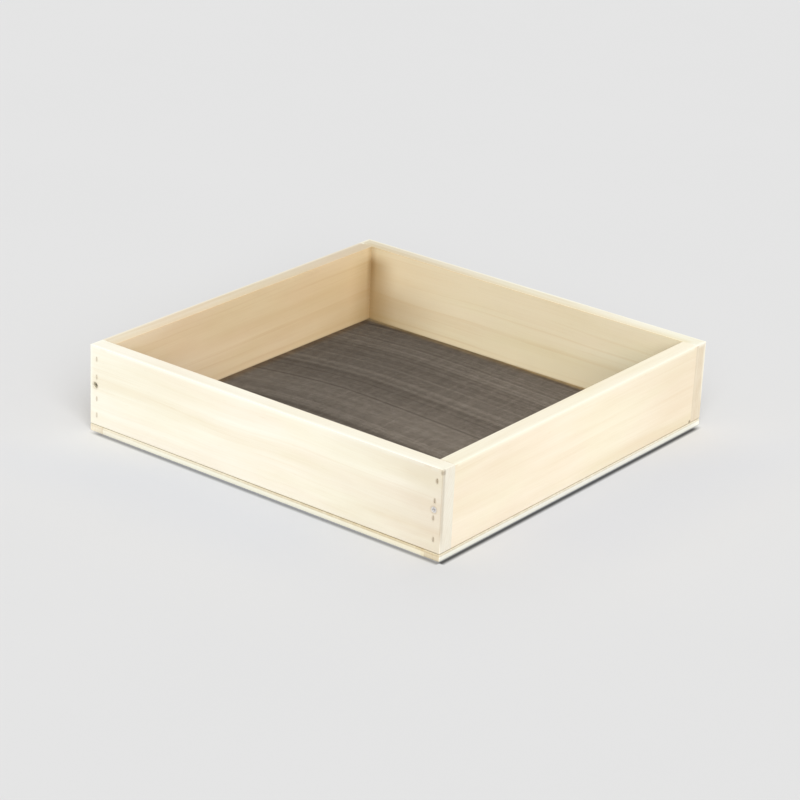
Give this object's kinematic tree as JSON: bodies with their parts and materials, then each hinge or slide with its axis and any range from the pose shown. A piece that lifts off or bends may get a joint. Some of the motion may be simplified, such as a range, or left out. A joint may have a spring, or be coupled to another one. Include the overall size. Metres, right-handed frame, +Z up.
{
  "type": "screened hive box",
  "caption": "Shallow square wooden hive box, open at the top, with a fine wire screen clamped across its base by thin slats; stacks between hive bodies for ventilation or insulation.",
  "frame": {"origin": "centre of the square footprint, on the underside of the slats", "axes": "+X along the front board to the right, +Y from the front board to the back board, +Z up out of the open top"},
  "size_m": [0.5, 0.5, 0.1048],
  "materials": {
    "board_wood": "planed, unfinished",
    "slat_wood": "sawn, unfinished",
    "screen_wire": "woven wire, dull grey",
    "staple_wire": "galvanised, dull",
    "screw_zinc": "zinc plated"
  },
  "bodies": {
    "root": {"front_board": "board_wood", "back_board": "board_wood", "left_board": "board_wood", "right_board": "board_wood", "front_slat": "slat_wood", "back_slat": "slat_wood", "left_slat": "slat_wood", "right_slat": "slat_wood", "wire_screen": "screen_wire", "staples_front_left": "staple_wire", "staples_front_right": "staple_wire", "staples_back_left": "staple_wire", "staples_back_right": "staple_wire", "staples_front_slat": "staple_wire", "staples_back_slat": "staple_wire", "staples_left_slat": "staple_wire", "staples_right_slat": "staple_wire", "screw_front_left": "screw_zinc", "screw_front_right": "screw_zinc", "screw_back_left": "screw_zinc", "screw_back_right": "screw_zinc"}
  },
  "joints": []
}
